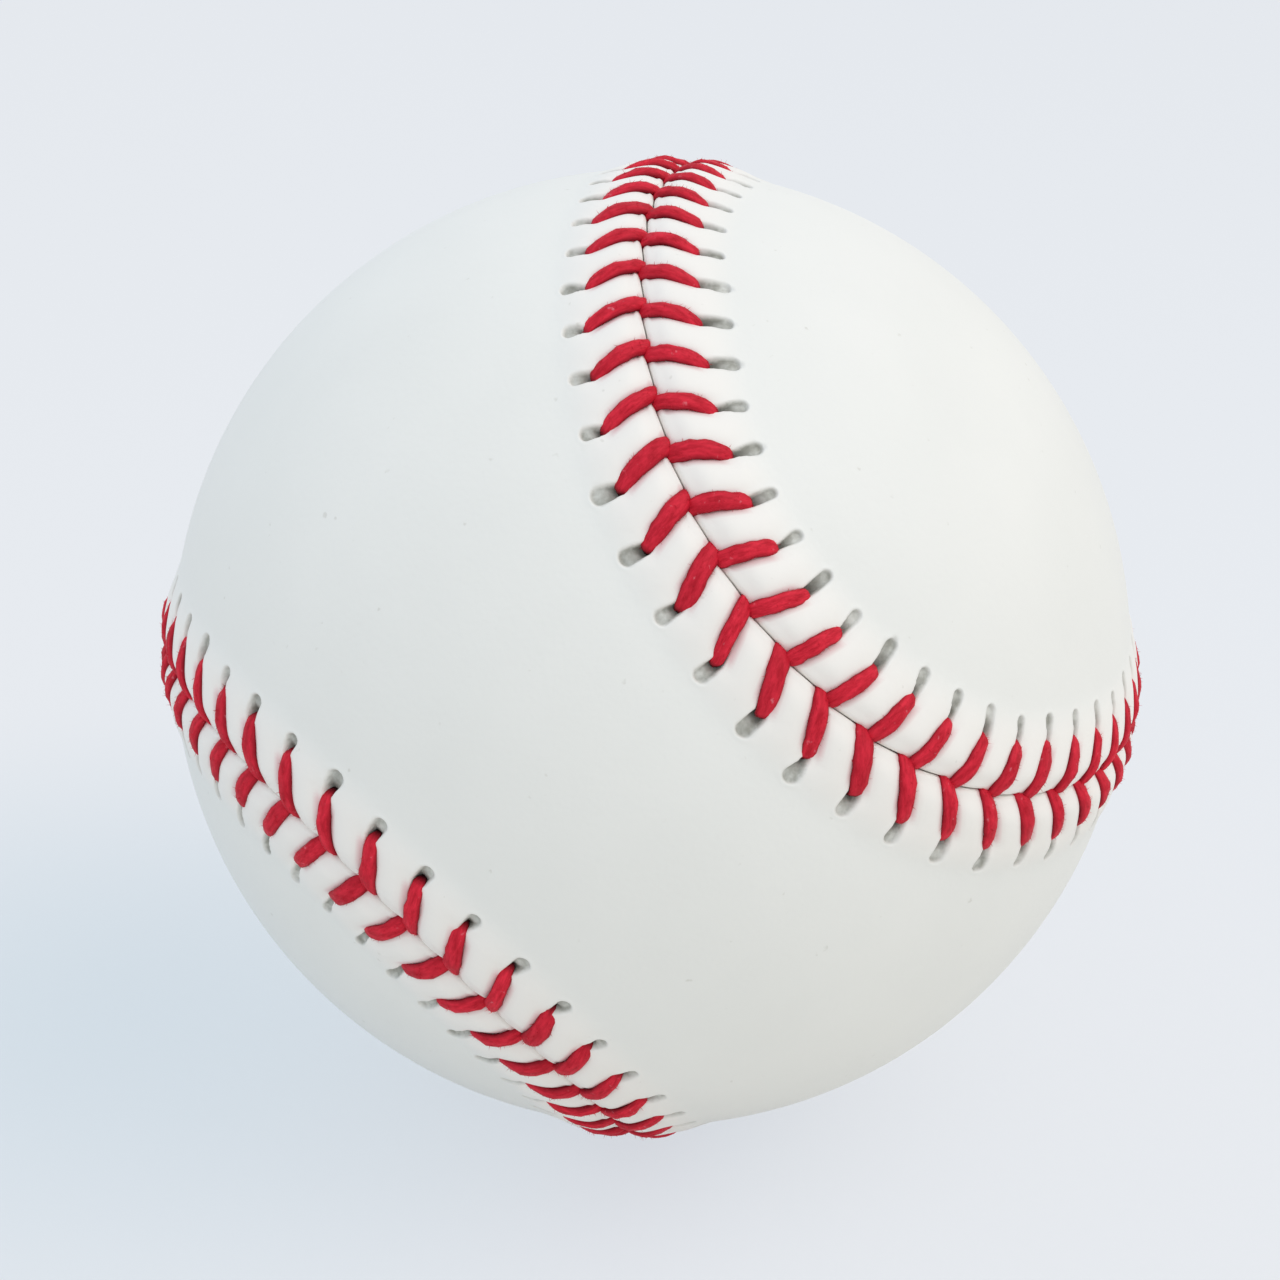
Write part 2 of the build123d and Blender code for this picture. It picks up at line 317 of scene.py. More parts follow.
def seamRows(name, place, past, width, number):  # rows of points from the slit outwards, with their marks
    side, slit, roll = sides[name], cover["slitHalf"], cover["roll"]
    offsets = np.concatenate([np.linspace(*step, endpoint=False) for step in cover["rowSteps"]])
    offsets = np.append(offsets, cover["rowSteps"][-1][1])
    surfaces = [leatherSurface(past, width, np.full(len(place), offset), name, number) for offset in offsets]
    edgeRise, edgeMarks = surfaces[0]
    middle = ballRadius + edgeRise - roll
    inside = np.full(len(place), leatherInside)
    rows = [(0, slit, inside, edgeMarks), (0, slit, (leatherInside + middle) / 2, edgeMarks)]
    for angle in np.radians(cover["rollSteps"]):
        rows.append((0, slit + roll * (1 - math.sin(angle)), middle + roll * math.cos(angle), edgeMarks))
    for offset, (rise, marks) in zip(offsets, surfaces):
        rows.append((offset, offset, ballRadius + rise, marks))
    points = []
    for offset, across, radius, _ in rows:
        along = legLine(offset, name)
        pull = side * seamPull(past + along, width, across)
        points.append(besideSeam(place + along, across + pull, side) * radius[:, None])
    return points, {label: np.concatenate([row[3][label] for row in rows]) for label in edgeMarks}


def ringPoints(step):  # evenly strewn directions, about step apart on the ball
    count = int(4 * np.pi * (ballRadius / step) ** 2 / cover["packing"])
    turn = np.arange(count) * np.pi * (3 - math.sqrt(5))
    height = 1 - (2 * np.arange(count) + 1) / count
    flat = np.sqrt(1 - height ** 2)
    return np.stack([flat * np.cos(turn), flat * np.sin(turn), height], axis=1)


def seamDistance(directions):  # distance from the seam, positive on the front cover
    line, _, toFront = seamFrame(np.linspace(0, seamLength, seam["samples"], endpoint=False))
    near = directions.astype(np.float32) @ line.T.astype(np.float32)
    best = near.argmax(axis=1)
    angle = np.arccos(np.clip(near.max(axis=1), -1, 1))
    return ballRadius * angle * np.sign(np.sum(directions * toFront[best], axis=1))


def fillRing(directions, ringCount, side):  # triangles inside a ring, on a map seen from the far pole
    scale = 1 - side * directions[:, 1]
    flat = [Vector((x, z)) for x, z in directions[:, [0, 2]] / scale[:, None]]
    filled = delaunay_2d_cdt(flat, [], [list(range(ringCount))], 1, 1e-9)  # 1 keeps what is inside
    source = [origin[0] for origin in filled[3]]
    return np.array([[source[corner] for corner in face] for face in filled[2]])


def facing(points, triangles, sign):  # turns the triangles outwards, or inwards for -1
    a, b, c = (points[triangles[:, k]] for k in range(3))
    wrong = np.sum(np.cross(b - a, c - a) * a, axis=1) * sign < 0
    triangles[wrong] = triangles[wrong][:, ::-1]
    return triangles


def plainLeather(ring, nextRing, step, gap, side, sign):  # directions inside a ring, and their triangles
    strewn = ringPoints(step)
    strewn = strewn[seamDistance(strewn) * side > gap]
    directions = np.concatenate([ring, nextRing, strewn])
    return directions, facing(directions, fillRing(directions, len(ring), side), sign)


def makeCover(name):
    side = sides[name]
    place, past, width, number = coverColumns()
    rows, marks = seamRows(name, place, past, width, number)
    count = len(place)
    index = np.arange(len(rows) * count).reshape(len(rows), count)
    onward = np.roll(index, -1, axis=1)
    quads = np.stack([index[:-1], onward[:-1], onward[1:], index[1:]], axis=-1).reshape(-1, 4)
    a, b, c = np.concatenate(rows)[quads[-1, :3]]
    if np.cross(b - a, c - b) @ a < 0:
        quads = quads[:, ::-1]

    # Plain leather inside the last row, and the hidden inner face
    lastOffset = cover["rowSteps"][-1][1]
    ring = rows[-1] / np.linalg.norm(rows[-1], axis=1, keepdims=True)
    ringPlaces = (place + legLine(lastOffset, name))[:: cover["thinning"]]
    nextRing = besideSeam(ringPlaces, np.full(len(ringPlaces), lastOffset + cover["ringGap"]), side)
    outside, outsideFaces = plainLeather(
        ring, nextRing, cover["plainStep"], lastOffset + cover["strewnGap"], side, 1)
    innerRing = rows[0] / leatherInside
    inside, insideFaces = plainLeather(
        innerRing, innerRing[:0], cover["insideStep"], cover["strewnGap"], side, -1)
    newOutside, newInside = len(outside) - count, len(inside) - count
    outsideIndex = np.concatenate([index[-1], index.size + np.arange(newOutside)])
    insideIndex = np.concatenate([index[0], index.size + newOutside + np.arange(newInside)])
    points = np.concatenate(rows + [outside[count:] * ballRadius, inside[count:] * leatherInside])

    faces = quads.tolist() + outsideIndex[outsideFaces].tolist() + insideIndex[insideFaces].tolist()
    mesh = bpy.data.meshes.new(name + "Cover")
    mesh.from_pydata((points * mm).tolist(), [], faces)
    mesh.shade_smooth()
    for label, shares in marks.items():
        values = np.zeros(len(points), np.float32)
        values[:index.size] = shares
        mesh.attributes.new(label, "FLOAT", "POINT").data.foreach_set("value", values)
    piece = bpy.data.objects.new(name + "Cover", mesh)
    bpy.context.scene.collection.objects.link(piece)
    return piece


# The thread
thread = {
    "stations": (  # share of the leg's length from its dive, lift, width and thickness in mm
        (1.06, -1.10, 0.66, 0.42),
        (1.05, -0.60, 0.84, 0.46),
        (1.02, -0.06, 1.10, 0.52),
        (0.94, 0.17, 1.24, 0.60),
        (0.70, 0.34, 1.38, 0.77),
        (0.45, 0.42, 1.46, 0.88),
        (0.22, 0.42, 1.44, 0.88),
        (0.04, 0.33, 1.34, 0.76),
        (-0.06, -0.02, 1.12, 0.58),
        (-0.09, -0.66, 0.78, 0.40),
    ),
    "around": 8,  # corners of a section
    "bow": 0.1,  # mm that the leg bows towards the point of the V
    "skewEnd": 0.4,  # share of the leg over which its end turns to lie along the seam
    "widthSpread": 0.13,
    "lengthSpread": 0.02,
    "turnSpread": 0.045,  # radians
    "lumpSize": 0.9,  # mm
    "lumpHeight": 0.4,
    "fibreDensity": 4.5,  # loose fibres to a square mm
    "fibreLength": 0.3,
    "fibreShares": (0.35, 1.2),  # the shortest and the longest, as shares of that
    "fibreRadius": 0.02,
    "fibreTilt": 1.2,
    "fibreUV": (0.69, 3.0, 0.0),  # coloured as the top of the thread, 3 mm along it
    "seed": 5,
}


def makeLeg(name):  # one leg in the ball's own frame: Z out through its dive, X towards its slot
    side, corners = sides[name], thread["around"]
    trail = lacing[name + "Dive"] + lacing["lag"]
    length, lean = math.hypot(trail, lacing["reach"]), trail / lacing["reach"]
    middles = []
    for share, lift, *_ in thread["stations"]:
        onLeg = min(max(share, 0), 1)
        radius = ballRadius + weltRise(onLeg * lacing["reach"]) - lacing["trough"] + lift
        angle = share * length / ballRadius
        bow = -side * thread["bow"] * math.sin(math.pi * onLeg)
        middles.append(np.array([radius * math.sin(angle), bow, radius * math.cos(angle)]))
    lengths = np.append(0, np.cumsum(np.linalg.norm(np.diff(middles, axis=0), axis=1)))
    points = []
    across = np.array([0.0, 1.0, 0.0])
    for at, (share, _, width, height) in enumerate(thread["stations"]):
        along = unit(middles[min(at + 1, len(middles) - 1)] - middles[max(at - 1, 0)])
        inward = unit(np.cross(along, across))
        skew = side * lean * min(max(1 - share / thread["skewEnd"], 0), 1)
        for corner in range(corners):
            turn = 2 * math.pi * (corner + 0.5) / corners
            sideways, sunk = width / 2 * math.cos(turn), height / 2 * math.sin(turn)
            askew = np.array([skew * sideways, 0, 0])
            points.append(middles[at] + across * sideways + inward * sunk + askew)
    faces, uvs = [], []
    for at in range(len(middles) - 1):
        first, second = at * corners, (at + 1) * corners
        start, end = lengths[at], lengths[at + 1]
        for corner in range(corners):
            onward = (corner + 1) % corners
            faces.append((first + corner, first + onward, second + onward, second + corner))
            low, high = corner / corners, (corner + 1) / corners
            uvs += [(low, start), (high, start), (high, end), (low, end)]
    last = (len(middles) - 1) * corners
    faces.append(tuple(reversed(range(corners))))
    faces.append(tuple(range(last, last + corners)))
    uvs += [(0.5, lengths[0])] * corners + [(0.5, lengths[-1])] * corners
    mesh = bpy.data.meshes.new(name + "Leg")
    mesh.from_pydata((np.array(points) * mm).tolist(), [], faces)
    layer = mesh.uv_layers.new(name="threadUV")
    layer.data.foreach_set("uv", np.array(uvs, np.float32).ravel())
    return bpy.data.objects.new(name + "Leg", mesh)


def makeLacingTree():
    tree = bpy.data.node_groups.new("laceStitches", "GeometryNodeTree")
    kinds = (
        ("Places", "NodeSocketGeometry"), ("Leg", "NodeSocketObject"), ("Thread", "NodeSocketMaterial"),
        ("Width spread", "NodeSocketFloat"), ("Length spread", "NodeSocketFloat"),
        ("Turn spread", "NodeSocketFloat"), ("Lump scale", "NodeSocketFloat"),
        ("Lump height", "NodeSocketFloat"), ("Fibre density", "NodeSocketFloat"),
        ("Fibre length", "NodeSocketFloat"), ("Fibre radius", "NodeSocketFloat"),
        ("Fibre tilt", "NodeSocketFloat"), ("Seed", "NodeSocketInt"),
    )
    for label, kind in kinds:
        tree.interface.new_socket(label, in_out="INPUT", socket_type=kind)
    tree.interface.new_socket("Stitching", in_out="OUTPUT", socket_type="NodeSocketGeometry")
    given = addNode(tree, "NodeGroupInput").outputs

    # Each leg is laid at its stitch, a little uneven
    outward = addNode(tree, "GeometryNodeInputNamedAttribute", {0: "outward"}, data_type="FLOAT_VECTOR")
    toSlot = addNode(tree, "GeometryNodeInputNamedAttribute", {0: "toSlot"}, data_type="FLOAT_VECTOR")
    laid = addNode(tree, "FunctionNodeAxesToRotation",
                   {"Primary Axis": outward.outputs[0], "Secondary Axis": toSlot.outputs[0]},
                   primary_axis="Z", secondary_axis="X")
    spreads = {}
    for label in ("Width spread", "Length spread", "Turn spread", "Fibre tilt"):
        least = addNode(tree, "ShaderNodeMath", {0: given[label], 1: -1.0}, operation="MULTIPLY")
        order = addNode(tree, "ShaderNodeMath", {0: given["Seed"], 1: float(len(spreads))},
                        operation="ADD")
        spreads[label] = addNode(tree, "FunctionNodeRandomValue",
                                 {2: least.outputs[0], 3: given[label], 8: order.outputs[0]},
                                 data_type="FLOAT").outputs[1]
    wider = addNode(tree, "ShaderNodeMath", {0: spreads["Width spread"], 1: 1.0}, operation="ADD")
    longer = addNode(tree, "ShaderNodeMath", {0: spreads["Length spread"], 1: 1.0}, operation="ADD")
    size = addNode(tree, "ShaderNodeCombineXYZ", {0: longer.outputs[0], 1: wider.outputs[0], 2: 1.0})
    askew = addNode(tree, "ShaderNodeCombineXYZ", {2: spreads["Turn spread"]})
    askewTurn = addNode(tree, "FunctionNodeEulerToRotation", {0: askew.outputs[0]})
    turned = addNode(tree, "FunctionNodeRotateRotation", {0: laid.outputs[0], 1: askewTurn.outputs[0]},
                     rotation_space="LOCAL")
    leg = addNode(tree, "GeometryNodeObjectInfo", {"Object": given["Leg"]})
    legs = addNode(tree, "GeometryNodeInstanceOnPoints",
                   {"Points": given["Places"], "Instance": leg.outputs["Geometry"],
                    "Rotation": turned.outputs[0], "Scale": size.outputs[0]})
    tint = addNode(tree, "FunctionNodeRandomValue", {8: given["Seed"]}, data_type="FLOAT")
    tinted = addNode(tree, "GeometryNodeStoreNamedAttribute",
                     {"Geometry": legs.outputs[0], "Name": "legTint", "Value": tint.outputs[1]},
                     data_type="FLOAT", domain="INSTANCE")

    # Rounded and made lumpy
    solid = addNode(tree, "GeometryNodeRealizeInstances", {0: tinted.outputs[0]})
    rounded = addNode(tree, "GeometryNodeSubdivisionSurface", {"Mesh": solid.outputs[0], "Level": 1})
    spot = addNode(tree, "GeometryNodeInputPosition")
    lump = addNode(tree, "ShaderNodeTexNoise",
                   {"Vector": spot.outputs[0], "Scale": given["Lump scale"]})
    swell = addNode(tree, "ShaderNodeMath", {0: lump.outputs["Fac"], 1: 0.5}, operation="SUBTRACT")
    height = addNode(tree, "ShaderNodeMath", {0: swell.outputs[0], 1: given["Lump height"]},
                     operation="MULTIPLY")
    normal = addNode(tree, "GeometryNodeInputNormal")
    push = addNode(tree, "ShaderNodeVectorMath", {0: normal.outputs[0], "Scale": height.outputs[0]},
                   operation="SCALE")
    lumpy = addNode(tree, "GeometryNodeSetPosition",
                    {"Geometry": rounded.outputs[0], "Offset": push.outputs[0]})
    sleek = addNode(tree, "GeometryNodeSetShadeSmooth", {0: lumpy.outputs[0]})

    # Loose fibres that stand out of the thread
    roots = addNode(tree, "GeometryNodeDistributePointsOnFaces",
                    {"Mesh": lumpy.outputs[0], "Density": given["Fibre density"],
                     "Seed": given["Seed"]})
    cone = addNode(tree, "GeometryNodeMeshCone",
                   {"Vertices": 3, "Radius Top": 0.0, "Radius Bottom": given["Fibre radius"],
                    "Depth": given["Fibre length"]}, fill_type="NGON")
    fibre = addNode(tree, "GeometryNodeStoreNamedAttribute",
                    {"Geometry": cone.outputs["Mesh"], "Name": "threadUV", "Value": thread["fibreUV"]},
                    data_type="FLOAT2", domain="CORNER")
    lean = addNode(tree, "ShaderNodeCombineXYZ", {0: spreads["Fibre tilt"], 1: spreads["Fibre tilt"]})
    leanTurn = addNode(tree, "FunctionNodeEulerToRotation", {0: lean.outputs[0]})
    tilted = addNode(tree, "FunctionNodeRotateRotation",
                     {0: roots.outputs["Rotation"], 1: leanTurn.outputs[0]}, rotation_space="LOCAL")
    shortest, longest = thread["fibreShares"]
    short = addNode(tree, "FunctionNodeRandomValue", {2: shortest, 3: longest, 8: given["Seed"]},
                    data_type="FLOAT")
    fuzz = addNode(tree, "GeometryNodeInstanceOnPoints",
                   {"Points": roots.outputs["Points"], "Instance": fibre.outputs[0],
                    "Rotation": tilted.outputs[0], "Scale": short.outputs[1]})
    both = addNode(tree, "GeometryNodeJoinGeometry", {0: fuzz.outputs[0]})
    tree.links.new(sleek.outputs[0], both.inputs[0])
    whole = addNode(tree, "GeometryNodeRealizeInstances", {0: both.outputs[0]})
    dyed = addNode(tree, "GeometryNodeSetMaterial",
                   {"Geometry": whole.outputs[0], "Material": given["Thread"]})
    addNode(tree, "NodeGroupOutput", {0: dyed.outputs[0]})
    return tree


def makeStitching(name, tree, material):
    side = sides[name]
    dive = stitchPlaces + lacing[name + "Dive"]
    outward = seamFrame(dive)[0]
    slotMouth = besideSeam(stitchPlaces - lacing["lag"], np.full(len(dive), lacing["reach"]), side)
    toSlot = slotMouth - outward * np.sum(slotMouth * outward, axis=1, keepdims=True)
    mesh = bpy.data.meshes.new(name + "Stitching")
    mesh.from_pydata([(0, 0, 0)] * len(dive), [], [])
    for label, vectors in (("outward", outward), ("toSlot", toSlot)):
        layer = mesh.attributes.new(label, "FLOAT_VECTOR", "POINT")
        layer.data.foreach_set("vector", vectors.astype(np.float32).ravel())
    piece = bpy.data.objects.new(name + "Stitching", mesh)
    bpy.context.scene.collection.objects.link(piece)
    settings = {
        "Leg": makeLeg(name), "Thread": material, "Width spread": thread["widthSpread"],
        "Length spread": thread["lengthSpread"], "Turn spread": thread["turnSpread"],
        "Lump scale": grain(thread["lumpSize"]), "Lump height": thread["lumpHeight"] * mm,
        "Fibre density": thread["fibreDensity"] / mm ** 2, "Fibre length": thread["fibreLength"] * mm,
        "Fibre radius": thread["fibreRadius"] * mm, "Fibre tilt": thread["fibreTilt"],
        "Seed": thread["seed"] + side,
    }
    lace = piece.modifiers.new("lacing", "NODES")
    lace.node_group = tree
    for item in tree.interface.items_tree:
        if item.name in settings:
            lace[item.identifier] = settings[item.name]
    evaluated = piece.evaluated_get(bpy.context.evaluated_depsgraph_get())
    finished = bpy.data.meshes.new_from_object(evaluated)
    piece.modifiers.clear()
    piece.data = finished
    bpy.data.objects.remove(settings["Leg"])
    return piece


def newMaterial(name):
    material = bpy.data.materials.new(name)
    material.use_nodes = True
    tree = material.node_tree
    tree.nodes.clear()
    shader = addNode(tree, "ShaderNodeBsdfPrincipled")
    addNode(tree, "ShaderNodeOutputMaterial", {"Surface": shader.outputs[0]})
    return material, tree, shader


def grain(size):  # a texture's scale for a pattern of this size in mm
    return 1 / (size * mm)


# Finish of the leather, with sizes in mm
cowhide = {
    "dull": "#E9E9E5",
    "clear": "#F3F2EE",
    "mottleSize": 14,
    "seamTone": "#F4F0EB",  # a lighter, warmer tone near the seam, fading out by the swelling's end
    "speck": "#BDB9AE",
    "speckSize": 0.9,
    "speckFrom": (0.73, 0.80),  # parts of the noise where a speck starts and is full
    "speckShare": 0.35,
    "slotShadeDarkGrey": "#A3A299",  # painted shade in the slots, a mottled grey
    "slotShadeLightGrey": "#D4D4CE",
    "slotShadeMottleSize": 0.7,
    "slotShadeMottleFrom": (0.35, 0.65),
    "deepSlotShade": "#6C6C64",
    "deepSlotShadeFrom": 0.4,  # slot shade up to which the painted grey comes in, and past which it darkens further
    # dye rubbed off the thread, darkened with painted shade along the thread's edge
    "stainAndShade": "#D78F97",
    "stainAndShadeShare": 0.55,
    "roughness": (0.40, 0.52),
    "specular": 0.42,
    "poreSize": 0.45,
    "creaseSize": 0.8,
    "relief": 0.22,
    "reliefHeight": 0.06,
}


def whiteLeather():
    # Alum-tawed cowhide, white, with a smooth pressed grain: even, faintly mottled, a low satin sheen;
    # painted shade in the slots and along the thread
    material, tree, shader = newMaterial("alumTawedCowhide")
    spot = addNode(tree, "ShaderNodeTexCoord").outputs["Object"]
    mottle = addNode(tree, "ShaderNodeTexNoise",
                     {"Vector": spot, "Scale": grain(cowhide["mottleSize"]), "Detail": 3.0})
    hide = addNode(tree, "ShaderNodeMix",
                   {0: mottle.outputs["Fac"], 6: cowhide["dull"], 7: cowhide["clear"]}, data_type="RGBA")
    nearSeam = addNode(tree, "ShaderNodeAttribute", attribute_name="seamToneShare")
    seamTone = addNode(tree, "ShaderNodeMix",
                   {0: nearSeam.outputs["Fac"], 6: hide.outputs[2], 7: cowhide["seamTone"]}, data_type="RGBA")
    speck = addNode(tree, "ShaderNodeTexNoise",
                    {"Vector": spot, "Scale": grain(cowhide["speckSize"]), "Detail": 2.0})
    start, full = cowhide["speckFrom"]
    speckShare = addNode(tree, "ShaderNodeMapRange",
                         {0: speck.outputs["Fac"], 1: start, 2: full, 4: cowhide["speckShare"]})
    marked = addNode(tree, "ShaderNodeMix",
                     {0: speckShare.outputs[0], 6: seamTone.outputs[2], 7: cowhide["speck"]},
                     data_type="RGBA")
    dyeAndShade = addNode(tree, "ShaderNodeAttribute", attribute_name="dyeStainAndEdgeShade")
    dyeAndShadeShare = addNode(tree, "ShaderNodeMapRange", {0: dyeAndShade.outputs["Fac"], 4: cowhide["stainAndShadeShare"]})
    stainedAndShaded = addNode(tree, "ShaderNodeMix",
                      {0: dyeAndShadeShare.outputs[0], 6: marked.outputs[2], 7: cowhide["stainAndShade"]},
                      data_type="RGBA")

    # Painted shade in the slots: a mottled grey that darkens deeper in
    slot = addNode(tree, "ShaderNodeAttribute", attribute_name="slotShade")
    slotShadeShare = addNode(tree, "ShaderNodeMapRange", {0: slot.outputs["Fac"], 2: cowhide["deepSlotShadeFrom"]})
    deepSlotShadeShare = addNode(tree, "ShaderNodeMapRange", {0: slot.outputs["Fac"], 1: cowhide["deepSlotShadeFrom"]})
    slotMottle = addNode(tree, "ShaderNodeTexNoise",
                    {"Vector": spot, "Scale": grain(cowhide["slotShadeMottleSize"]), "Detail": 3.0})
    start, full = cowhide["slotShadeMottleFrom"]
    slotMottleShare = addNode(tree, "ShaderNodeMapRange", {0: slotMottle.outputs["Fac"], 1: start, 2: full})
    slotShadeTone = addNode(tree, "ShaderNodeMix",
                   {0: slotMottleShare.outputs[0], 6: cowhide["slotShadeDarkGrey"], 7: cowhide["slotShadeLightGrey"]},
                   data_type="RGBA")
    deepenedSlotShade = addNode(tree, "ShaderNodeMix",
                  {0: deepSlotShadeShare.outputs[0], 6: slotShadeTone.outputs[2], 7: cowhide["deepSlotShade"]}, data_type="RGBA")
    leatherSlotShaded = addNode(tree, "ShaderNodeMix",
                      {0: slotShadeShare.outputs[0], 6: stainedAndShaded.outputs[2], 7: deepenedSlotShade.outputs[2]},
                      data_type="RGBA")
    tree.links.new(leatherSlotShaded.outputs[2], shader.inputs["Base Color"])

    # Satin sheen and a fine relief
    smoothest, roughest = cowhide["roughness"]
    satin = addNode(tree, "ShaderNodeMapRange", {0: mottle.outputs["Fac"], 3: smoothest, 4: roughest})
    tree.links.new(satin.outputs[0], shader.inputs["Roughness"])
    shader.inputs["Specular IOR Level"].default_value = cowhide["specular"]
    pores = addNode(tree, "ShaderNodeTexVoronoi",
                    {"Vector": spot, "Scale": grain(cowhide["poreSize"])}, feature="SMOOTH_F1")
    crease = addNode(tree, "ShaderNodeTexNoise",
                     {"Vector": spot, "Scale": grain(cowhide["creaseSize"]), "Detail": 4.0})
    relief = addNode(tree, "ShaderNodeMath",
                     {0: pores.outputs["Distance"], 1: crease.outputs["Fac"]}, operation="ADD")
    bump = addNode(tree, "ShaderNodeBump",
                   {"Height": relief.outputs[0], "Strength": cowhide["relief"],
                    "Distance": cowhide["reliefHeight"] * mm})
    tree.links.new(bump.outputs[0], shader.inputs["Normal"])
    return material


# Finish of the thread, with sizes in mm
cotton = {
    "darkRed": "#B50F25",
    "brightRed": "#E62B41",
    "streaks": (0.34, 0.66),  # parts of the noise between the two reds
    "plies": (11.0, 0.9, 60.0),  # streaks of fibre round the thread, to a mm along it, and between legs
    "worn": "#A81428",
    "wornShare": 0.3,
    # painted shade down the thread's sides
    "sides": "#880F20",
    "sideShadeTo": (-0.05, 0.7),  # height on the section, -1 to 1, where its painted side shade ends
    # painted shade on the thread where it goes into the slot
    "inSlotShade": "#33080E",
    "slotLength": (0.5, 1.25),  # from the thread's end, where it comes out of the slot's shade
    "fleck": "#E58F9A",
    "fleckSize": 0.5,
    "fleckFrom": (0.66, 0.82),
    "fleckShare": 0.7,
    "roughness": 0.6,
    "specular": 0.18,
    "relief": 0.5,
    "reliefHeight": 0.06,
}


def redThread():
    # Waxed cotton thread, dyed red and pulled flat: streaks of fibre, painted shade down its sides and into
    # the slots, pale flecks of lint
    material, tree, shader = newMaterial("waxedCottonThread")
    wound = addNode(tree, "ShaderNodeUVMap", uv_map="threadUV").outputs[0]
    around = addNode(tree, "ShaderNodeSeparateXYZ", {0: wound})
    leg = addNode(tree, "ShaderNodeAttribute", attribute_name="legTint")
    strand = addNode(tree, "ShaderNodeCombineXYZ",
                     {0: around.outputs[0], 1: around.outputs[1], 2: leg.outputs["Fac"]})
    drawn = addNode(tree, "ShaderNodeVectorMath", {0: strand.outputs[0], 1: cotton["plies"]},
                    operation="MULTIPLY")
    lint = addNode(tree, "ShaderNodeTexNoise",
                   {"Vector": drawn.outputs[0], "Scale": 1.0, "Detail": 4.0, "Roughness": 0.68})
    start, full = cotton["streaks"]
    shade = addNode(tree, "ShaderNodeMapRange", {0: lint.outputs["Fac"], 1: start, 2: full})
    dyed = addNode(tree, "ShaderNodeMix",
                   {0: shade.outputs[0], 6: cotton["darkRed"], 7: cotton["brightRed"]},
                   data_type="RGBA")
    worn = addNode(tree, "ShaderNodeMapRange", {0: leg.outputs["Fac"], 4: cotton["wornShare"]})
    faded = addNode(tree, "ShaderNodeMix",
                    {0: worn.outputs[0], 6: dyed.outputs[2], 7: cotton["worn"]}, data_type="RGBA")

    # Painted shade down its sides and where it goes into the slot
    turn = addNode(tree, "ShaderNodeMath",
                   {0: around.outputs[0], 1: -2 * math.pi, 2: -math.pi / thread["around"]},
                   operation="MULTIPLY_ADD")
    upward = addNode(tree, "ShaderNodeMath", {0: turn.outputs[0]}, operation="SINE")
    start, full = cotton["sideShadeTo"]
    clearOfSideShade = addNode(tree, "ShaderNodeMapRange", {0: upward.outputs[0], 1: start, 2: full})
    sideShaded = addNode(tree, "ShaderNodeMix",
                    {0: clearOfSideShade.outputs[0], 6: cotton["sides"], 7: faded.outputs[2]}, data_type="RGBA")
    start, full = cotton["slotLength"]
    outOfSlotShade = addNode(tree, "ShaderNodeMapRange", {0: around.outputs[1], 1: start, 2: full})
    threadSlotShaded = addNode(tree, "ShaderNodeMix",
                     {0: outOfSlotShade.outputs[0], 6: cotton["inSlotShade"], 7: sideShaded.outputs[2]},
                     data_type="RGBA")

    spot = addNode(tree, "ShaderNodeTexCoord").outputs["Object"]
    wax = addNode(tree, "ShaderNodeTexNoise",
                  {"Vector": spot, "Scale": grain(cotton["fleckSize"]), "Detail": 5.0})
    start, full = cotton["fleckFrom"]
    fleck = addNode(tree, "ShaderNodeMapRange",
                    {0: wax.outputs["Fac"], 1: start, 2: full, 4: cotton["fleckShare"]})
    flecked = addNode(tree, "ShaderNodeMix",
                      {0: fleck.outputs[0], 6: threadSlotShaded.outputs[2], 7: cotton["fleck"]}, data_type="RGBA")
    tree.links.new(flecked.outputs[2], shader.inputs["Base Color"])
    shader.inputs["Roughness"].default_value = cotton["roughness"]
    shader.inputs["Specular IOR Level"].default_value = cotton["specular"]
    bump = addNode(tree, "ShaderNodeBump",
                   {"Height": lint.outputs["Fac"], "Strength": cotton["relief"],
                    "Distance": cotton["reliefHeight"] * mm})
    tree.links.new(bump.outputs[0], shader.inputs["Normal"])
    return material


# Finishes of the layers inside the ball, with sizes in mm
winding = {
    "patch": 9,  # widths of yarn that run the same way
    "waveTurn": 20,  # radians of a wave texture to its unit, which sets ridges 2 pi widths apart
    "waver": 1.5,
    "roughness": 0.9,
    "relief": 0.7,
    "reliefHeight": 0.2,
}
moulding = {
    "bloomSize": 3,
    "pitSize": 0.3,
    "roughness": 0.75,
    "relief": 0.3,
    "reliefHeight": 0.05,
}
cork = {
    "dark": "#9A6F43",
    "light": "#C79C69",
    "binder": "#5A3B20",
    "binderWidth": 0.06,  # share of a granule
    "binderShare": 0.8,
    "granuleSize": 1.4,
    "roughness": 0.85,
    "relief": 0.5,
    "reliefHeight": 0.1,
}


def yarn(name, dark, light, width):
    # Yarn wound over yarn: fine ridges that cross in every direction, soft and without shine
    material, tree, shader = newMaterial(name)
    spot = addNode(tree, "ShaderNodeTexCoord").outputs["Object"]
    patches = addNode(tree, "ShaderNodeTexVoronoi",
                      {"Vector": spot, "Scale": grain(width * winding["patch"])})
    turned = addNode(tree, "ShaderNodeVectorRotate",
                     {"Vector": spot, "Rotation": patches.outputs["Color"]}, rotation_type="EULER_XYZ")
    ridges = addNode(tree, "ShaderNodeTexWave",
                     {"Vector": turned.outputs[0], "Scale": grain(width) / winding["waveTurn"],
                      "Distortion": winding["waver"], "Detail": 2.0})
    wool = addNode(tree, "ShaderNodeMix", {0: ridges.outputs["Fac"], 6: dark, 7: light},
                   data_type="RGBA")
    tree.links.new(wool.outputs[2], shader.inputs["Base Color"])
    shader.inputs["Roughness"].default_value = winding["roughness"]
    bump = addNode(tree, "ShaderNodeBump",
                   {"Height": ridges.outputs["Fac"], "Strength": winding["relief"],
                    "Distance": winding["reliefHeight"] * mm})
    tree.links.new(bump.outputs[0], shader.inputs["Normal"])
    return material


